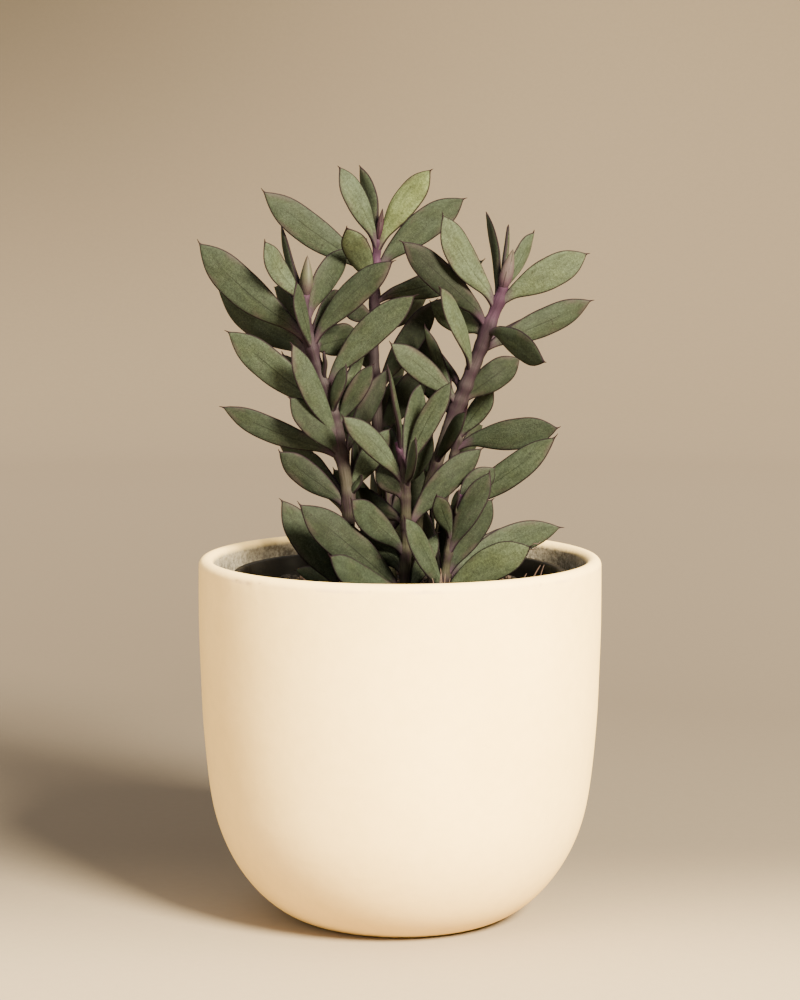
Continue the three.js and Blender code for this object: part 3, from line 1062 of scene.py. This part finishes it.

# Studio sweep, from its middle to the top of its wall, with painted light and shade: darker round the
# middle, lightest where the floor turns up into the wall, darker again up the wall
SWEEP_PAINTED_LIGHT = [
    (0, 0.106, 0.087, 0.067),
    (0.1, 0.118, 0.096, 0.074),
    (0.16, 0.158, 0.128, 0.098),
    (0.25, 0.222, 0.18, 0.136),
    (0.32, 0.276, 0.223, 0.168),
    (0.355, 0.3, 0.242, 0.181),
    (0.385, 0.3, 0.241, 0.18),
    (0.43, 0.282, 0.226, 0.166),
    (0.6, 0.256, 0.205, 0.149),
    (0.71, 0.23, 0.184, 0.132),
]


class Graph:
    """Short calls that build one material out of nodes."""

    def __init__(self, name):
        self.material = bpy.data.materials.new(name)
        self.material.use_nodes = True
        self.tree = self.material.node_tree
        self.shader = self.tree.nodes["Principled BSDF"]

    def put(self, socket, value):
        if isinstance(value, bpy.types.NodeSocket):
            self.tree.links.new(value, socket)
        elif hasattr(value, "__len__") and len(value) == 3 and socket.type == "RGBA":
            socket.default_value = (*value, 1)
        else:
            socket.default_value = value

    def add(self, kind, inputs, **settings):
        """The outputs of a new node with these inputs and settings."""
        node = self.tree.nodes.new("ShaderNode" + kind)
        for name, setting in settings.items():
            setattr(node, name, setting)
        for key, value in inputs.items():
            self.put(node.inputs[key], value)
        return node.outputs

    def attribute(self, name, output="Fac"):
        return self.add("Attribute", {}, attribute_name=name)[output]

    def values(self, *names):
        return [self.attribute(name) for name in names]

    def place(self):
        return self.add("TexCoord", {})["Object"]

    def math(self, operation, a, b=0):
        return self.add("Math", {0: a, 1: b}, operation=operation)[0]

    def times(self, a, b):
        return self.math("MULTIPLY", a, b)

    def less(self, a, b):
        return self.math("SUBTRACT", a, b)

    def size(self, value):
        return self.math("ABSOLUTE", value)

    def swayed(self, value, pattern, reach):
        """A value that a pattern from 0 to 1 moves up and down."""
        return self.math("ADD", value, self.times(self.less(pattern, 0.5), reach))

    def scaled(self, vector, scale):
        return self.add("VectorMath", {0: vector, 1: scale}, operation="MULTIPLY")[0]

    def noise(self, vector, scale, detail=3, roughness=0.55):
        inputs = {"Vector": vector, "Scale": scale, "Detail": detail, "Roughness": roughness}
        return self.add("TexNoise", inputs)["Fac"]

    def spots(self, vector, scale):
        """Distance to the nearest of scattered points."""
        return self.add("TexVoronoi", {"Vector": vector, "Scale": scale})["Distance"]

    def ease(self, value, low, high, start=0, end=1):
        """Maps a range to another with a smooth step."""
        inputs = {0: value, 1: low, 2: high, 3: start, 4: end}
        return self.add("MapRange", inputs, interpolation_type="SMOOTHSTEP")["Result"]

    def ramp(self, value, stops):
        node = self.tree.nodes.new("ShaderNodeValToRGB")
        self.put(node.inputs["Fac"], value)
        elements = node.color_ramp.elements
        while len(elements) < len(stops):
            elements.new(0.5)
        for element, (place, *colour) in zip(elements, stops):
            element.position = place
            element.color = (*colour, 1)
        return node.outputs["Color"]

    def mix(self, share, a, b, blend="MIX"):
        return self.add("Mix", {0: share, 6: a, 7: b}, data_type="RGBA", blend_type=blend)[2]

    def tint(self, colour, value):
        """A colour made lighter or darker by a factor."""
        grey = self.add("CombineColor", {0: value, 1: value, 2: value})[0]
        return self.mix(1, colour, grey, "MULTIPLY")

    def grade(self, colour, pattern, dark, light):
        """A colour that runs from a darker to a lighter factor with a pattern."""
        return self.tint(colour, self.ease(pattern, 0.3, 0.7, dark, light))

    def bump(self, height, strength, distance, below=None):
        inputs = {"Strength": strength, "Distance": distance, "Height": height}
        if below is not None:
            inputs["Normal"] = below
        return self.add("Bump", inputs)["Normal"]

    def finish(self, colour, roughness, normal, specular):
        self.put(self.shader.inputs["Base Color"], colour)
        self.put(self.shader.inputs["Roughness"], roughness)
        self.put(self.shader.inputs["Normal"], normal)
        self.shader.inputs["Specular IOR Level"].default_value = specular
        return self.material


def leaf_material():
    g = Graph("leaf_skin")
    grain = g.attribute("grain", "Vector")
    along, rim, cross, tone, luck = g.values("along", "rim", "cross", "tone", "luck")
    streaked = g.scaled(grain, (1, 0.25, 1))
    broad = g.noise(g.scaled(grain, (0.16, 0.09, 0.7)), 1, 2)
    blotch = g.noise(streaked, 0.55, 4, 0.6)
    patch = g.noise(grain, 0.2, 2)
    speck = g.noise(grain, 3.2, 3, 0.7)
    mottle = g.noise(grain, 1.1, 3, 0.65)

    # Mottled green from each leaf's tone, which holds both its age and painted light and shade
    skin = g.ramp(tone, LEAF_TONES)
    skin = g.mix(g.ease(broad, 0.38, 0.66, 0, 0.45), skin, (0.46, 0.44, 0.32), "SOFT_LIGHT")
    skin = g.grade(skin, blotch, 0.74, 1.22)
    skin = g.grade(skin, speck, 0.64, 1.36)
    skin = g.tint(skin, g.ease(mottle, 0.32, 0.68, 0.76, 1.24))

    # Stains, bloom, freckles and a purple blush
    dark_patches = g.times(g.ease(blotch, 0.54, 0.66), g.ease(patch, 0.5, 0.64))
    skin = g.mix(g.times(dark_patches, 0.34), skin, (0.01, 0.009, 0.008))
    bloom = g.times(g.ease(speck, 0.5, 0.62), g.ease(patch, 0.38, 0.6))
    skin = g.mix(g.times(bloom, 0.22), skin, (0.05, 0.055, 0.044))
    freckle = g.ease(g.spots(grain, 0.42), 0.1, 0.26, 1, 0)
    freckle = g.times(freckle, g.ease(patch, 0.5, 0.62))
    skin = g.mix(g.times(freckle, 0.55), skin, (0.006, 0.006, 0.004))
    blush = g.times(g.ease(rim, 0.3, 2.6, 1, 0), g.ease(broad, 0.5, 0.68))
    skin = g.mix(g.times(blush, 0.4), skin, (0.034, 0.021, 0.025))

    # Rib, mauve foot, dark rim and dark tip
    rib = g.times(g.ease(g.size(cross), 0.12, 0.3, 1, 0), g.ease(along, 0.82, 0.6))
    rib = g.times(rib, g.ease(luck, 0.25, 0.9, 0.05, 0.42))
    skin = g.tint(skin, g.less(1, rib))
    foot = g.ease(g.swayed(along, blotch, 0.16), 0.06, 0.2, 1, 0)
    skin = g.mix(g.times(foot, 0.7), skin, (0.027, 0.013, 0.0255))
    skin = g.mix(g.ease(g.swayed(rim, speck, 0.3), 0.2, 0.6, 0.9, 0), skin, (0.0058, 0.0026, 0.0052))
    skin = g.mix(g.ease(along, 0.945, 0.972, 0, 0.9), skin, (0.006, 0.0025, 0.004))

    normal = g.bump(g.noise(streaked, 2.6, 4), 0.35, 0.00018)
    normal = g.bump(rib, 0.35, -0.0002, normal)
    return g.finish(skin, g.ease(speck, 0.2, 0.8, 0.6, 0.75), normal, 0.07)


def stem_material():
    g = Graph("stem_skin")
    grain = g.attribute("grain", "Vector")
    level, along, node = g.values("luck", "along", "tone")
    low, high = STEM_COLOUR_HEIGHTS
    streak = g.noise(g.scaled(grain, (1, 1, 0.35)), 1.4, 4, 0.6)
    rise = g.less(g.swayed(level, streak, 0.03), low)
    skin = g.ramp(g.math("DIVIDE", rise, high - low), STEM_TONES)
    skin = g.mix(g.ease(g.swayed(along, streak, 0.06), 0.85, 0.96), skin, (0.036, 0.015, 0.034))
    skin = g.mix(g.times(node, g.ease(streak, 0.35, 0.6, 0.35, 0.85)), skin, (0.0085, 0.0038, 0.0078))
    skin = g.grade(skin, streak, 0.68, 1.3)
    fine = g.noise(grain, 9, 3, 0.7)
    skin = g.grade(skin, fine, 0.82, 1.18)
    return g.finish(skin, g.ease(fine, 0.2, 0.8, 0.55, 0.7), g.bump(streak, 0.5, 0.0005), 0.09)


def bud_material():
    g = Graph("bud_skin")
    grain = g.attribute("grain", "Vector")
    along, tone, cross = g.values("along", "tone", "cross")
    streak = g.noise(g.scaled(grain, (1, 0.3, 1)), 2.4, 3, 0.6)
    place = g.swayed(along, streak, 0.25)
    skin = g.mix(g.ease(tone, 0.6, 0.9), g.ramp(place, BUD_PINKS), g.ramp(place, BUD_GREENS))
    skin = g.mix(g.ease(tone, 0, 0.3, 0.85, 0), skin, (0.01, 0.0032, 0.0055))
    seam = g.ease(g.size(cross), 0.1, 0.28, 0.55, 0)
    skin = g.tint(skin, g.less(1, seam))
    fine = g.noise(grain, 5, 3, 0.7)
    skin = g.grade(skin, fine, 0.85, 1.15)
    return g.finish(skin, g.ease(fine, 0.2, 0.8, 0.5, 0.65), g.bump(streak, 0.3, 0.0003), 0.12)


def ceramic_material():
    g = Graph("matte_ceramic")
    place = g.place()
    inside, worn, level = g.values("inside", "worn", "level")
    colour = g.mix(g.ease(g.noise(place, 22, 3, 0.5), 0.3, 0.7), *GLAZE)
    small = g.noise(place, 240, 3, 0.6)
    colour = g.grade(colour, small, 0.975, 1.02)
    # Darker patches towards the foot
    near_foot = g.ease(level, 0.02, 0, 0, 0.25)
    dark_patches = g.times(g.ease(g.noise(place, 60, 4), 0.6, 0.72), near_foot)
    colour = g.mix(dark_patches, colour, (0.55, 0.4, 0.24))
    # Painted shade: a thin broken ochre line round the lip where its round edge turns under
    at_lip = g.ease(g.size(g.less(level, LIP_SHADE_HEIGHT)), 0.0002, 0.0009, 1, 0)
    painted_lip_shade = g.times(at_lip, g.ease(g.noise(place, 75, 4), 0.5, 0.68, 0.05, 0.55))
    colour = g.mix(painted_lip_shade, colour, (0.6, 0.43, 0.25))
    colour = g.mix(g.ease(worn, 0.25, 0.9, 0, 0.8), colour, (0.45, 0.31, 0.17))
    grit = g.noise(place, 620, 4, 0.7)
    # The bare inside: grainy clay, darkened as painted shade inside the pot
    colour = g.mix(inside, colour, g.mix(g.ease(grit, 0.35, 0.65), *BARE_CLAY_AND_PAINTED_SHADE))
    normal = g.bump(g.noise(place, 420, 3, 0.6), 0.16, 0.0003)
    normal = g.bump(g.times(grit, inside), 0.8, 0.0006, normal)
    return g.finish(colour, g.ease(small, 0.2, 0.8, 0.66, 0.78), normal, 0.35)


def plastic_material():
    g = Graph("black_plastic")
    place = g.place()
    dust = g.noise(place, 160, 5, 0.7)
    colour = g.mix(g.ease(dust, 0.55, 0.75, 0, 0.5), *PLASTIC)
    normal = g.bump(g.noise(place, 900, 2), 0.15, 0.0001)
    return g.finish(colour, g.ease(dust, 0.3, 0.7, 0.45, 0.65), normal, 0.12)


def soil_material():
    g = Graph("peat_soil")
    place = g.place()
    clump = g.noise(place, 320, 6, 0.7)
    normal = g.bump(g.noise(place, 900, 6, 0.75), 0.9, 0.0012)
    roughness = g.ease(clump, 0.3, 0.7, 0.85, 1)
    return g.finish(g.ramp(clump, PEAT_TONES), roughness, normal, 0.2)


def loose_material(name, tones, grain, contrast, bump, finish):
    """The skin of many small pieces, each with a tone of its own."""
    g = Graph(name)
    fine = g.noise(g.place(), *grain)
    colour = g.grade(g.ramp(g.attribute("luck"), tones), fine, *contrast)
    roughness, specular = finish
    return g.finish(colour, roughness, g.bump(fine, *bump), specular)


def sweep_material():
    g = Graph("studio_sweep")
    far, front, sideways = g.values("reach", "front", "sideways")
    # Painted light and shade along the sweep, from its middle up to the top of its wall
    colour = g.ramp(far, SWEEP_PAINTED_LIGHT)
    # Painted pool of light: the floor in front of the pot is made lighter
    colour = g.mix(g.ease(front, -0.1, 0.11, 1, 0), colour, (0.304, 0.243, 0.17))
    # Painted shade: the wall grows darker towards its left side
    painted_left_shade = g.times(g.ease(far, 0.42, 0.72), g.ease(sideways, -0.55, 0.25, 0.62, 0))
    colour = g.tint(colour, g.less(1, painted_left_shade))
    weave = g.noise(g.place(), 260, 3, 0.6)
    colour = g.grade(colour, weave, 0.985, 1.015)
    return g.finish(colour, 0.9, g.bump(weave, 0.1, 0.0004), 0.15)


# Stage in millimetres, lights and camera in metres

SWEEP = {"middle": 300, "floor": 1500, "corner": 900, "wall_top": 1700, "sides": 128}

LIGHT_TARGET = (0, 0, 0.12)


def make_sweep():
    """A round floor that sweeps up into a low wall on every side."""
    s = SWEEP
    profile = Outline(1, 0)
    profile.line((s["middle"], 0), 12)
    profile.line((s["floor"], 0), 20)
    profile.arc((s["floor"], s["corner"]), s["corner"], -90, 0, 24)
    profile.line((s["floor"] + s["corner"], s["wall_top"]), 4)
    points, _ = lathe(profile.points, s["sides"])
    faces = tube_faces(len(profile.points), s["sides"], capped=False)
    faces = [tuple(reversed(face)) for face in faces]
    faces.append(tuple(range(s["sides"])))
    radius = np.hypot(points[:, 0], points[:, 1])
    reach = (radius + points[:, 2]) / (s["floor"] + s["corner"] + s["wall_top"])
    sideways, front = points[:, 0] * MM, points[:, 1] * MM
    shape = Shape().add(points, faces, reach=reach, front=front, sideways=sideways)
    sweep = shape.build("studio_sweep", [sweep_material()])


def add_light(name, place, size, power, colour):
    data = bpy.data.lights.new(name, "AREA")
    data.shape = "DISK"
    data.size = size
    data.energy = power
    data.color = colour
    lamp = new_object(name, data)
    lamp.location = place
    direction = Vector(LIGHT_TARGET) - Vector(place)
    lamp.rotation_euler = direction.to_track_quat("-Z", "Y").to_euler()
    lamp.visible_camera = False


def make_sky():
    world = bpy.data.worlds.new("studio")
    world.use_nodes = True
    background = world.node_tree.nodes["Background"]
    background.inputs["Color"].default_value = (1, 0.935, 0.84, 1)
    background.inputs["Strength"].default_value = 1.55
    bpy.context.scene.world = world


def make_camera():
    data = bpy.data.cameras.new("camera")
    data.lens = 108
    data.sensor_width = 36
    data.clip_start = 0.01
    data.clip_end = 20
    camera = new_object("camera", data)
    camera.location = (0, -1.0337, 0.2686)
    camera.rotation_euler = (math.radians(83.26), 0, 0)
    bpy.context.scene.camera = camera


make_camera()
add_light("key", place=(0.79, -1.19, 1.02), size=0.5, power=318, colour=(1, 0.88, 0.62))
add_light("fill", place=(-1.1, -1.1, 0.7), size=1.2, power=24, colour=(1, 0.9, 0.74))
make_sky()
make_sweep()
make_planter(ceramic_material())
make_nursery_pot(plastic_material())
make_soil(soil_material())
make_crumbs(loose_material(
    "soil_crumb", CRUMB_TONES, grain=(1400, 4, 0.7), contrast=(0.6, 1.4),
    bump=(0.7, 0.0004), finish=(0.95, 0.2),
))
make_fibres(loose_material(
    "coir", FIBRE_TONES, grain=(1200, 3, 0.6), contrast=(0.7, 1.25),
    bump=(0.4, 0.0001), finish=(0.8, 0.3),
))
skins = [leaf_material(), stem_material(), bud_material()]
for index, (node, plan) in enumerate(STEMS.items()):
    make_plant(node, plan, index, skins)
